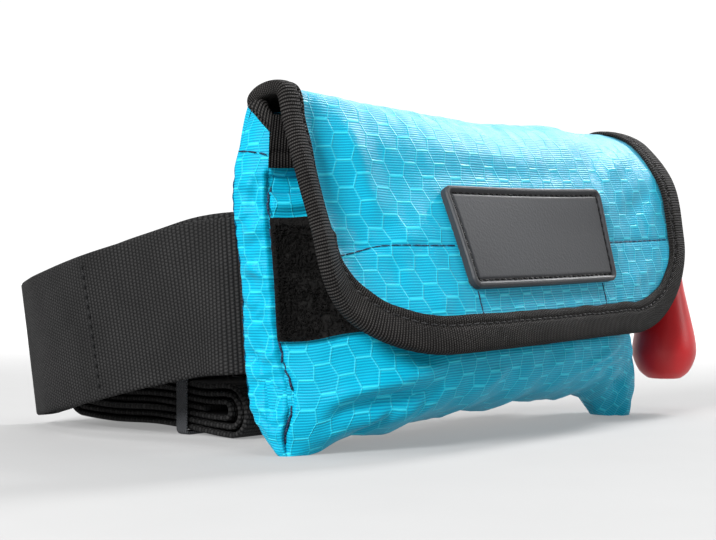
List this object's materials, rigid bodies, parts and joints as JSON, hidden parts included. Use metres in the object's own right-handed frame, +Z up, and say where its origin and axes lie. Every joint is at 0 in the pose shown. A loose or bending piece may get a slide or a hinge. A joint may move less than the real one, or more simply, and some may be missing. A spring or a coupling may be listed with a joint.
{
  "type": "inflatable belt pack",
  "caption": "Cloth waist pouch with a bound flap, rubber patch, pull handle on a cord, and a webbing belt with its surplus rolled flat in a banded hank.",
  "frame": {"origin": "middle of the underside of the whole pack's box", "axes": "+X across the pouch to the wearer's left as it faces -Y, +Y from the flap to the belt, +Z up"},
  "size_m": [0.1716, 0.143, 0.087],
  "materials": {
    "pouch_cloth": "bright blue ripstop cloth, slightly glossy",
    "binding_tape": "black ribbed tape",
    "loop_pile": "black loop pile",
    "patch_rubber": "dark matt moulded rubber",
    "sleeve_cloth": "black plain cloth",
    "belt_webbing": "black woven webbing",
    "buckle_plastic": "black moulded plastic",
    "band_elastic": "dark grey elastic",
    "cord": "black cord",
    "handle_plastic": "satin red plastic"
  },
  "bodies": {
    "root": {"pouch_body": "pouch_cloth", "mouth_binding": "binding_tape", "flap": "pouch_cloth", "flap_binding": "binding_tape", "loop_strip": "loop_pile", "rubber_patch": "patch_rubber", "back_sleeve": "sleeve_cloth", "belt_strap": "belt_webbing", "belt_buckle": "buckle_plastic", "belt_tail": "belt_webbing", "tail_band": "band_elastic", "pull_cord": "cord", "pull_handle": "handle_plastic"}
  },
  "joints": []
}
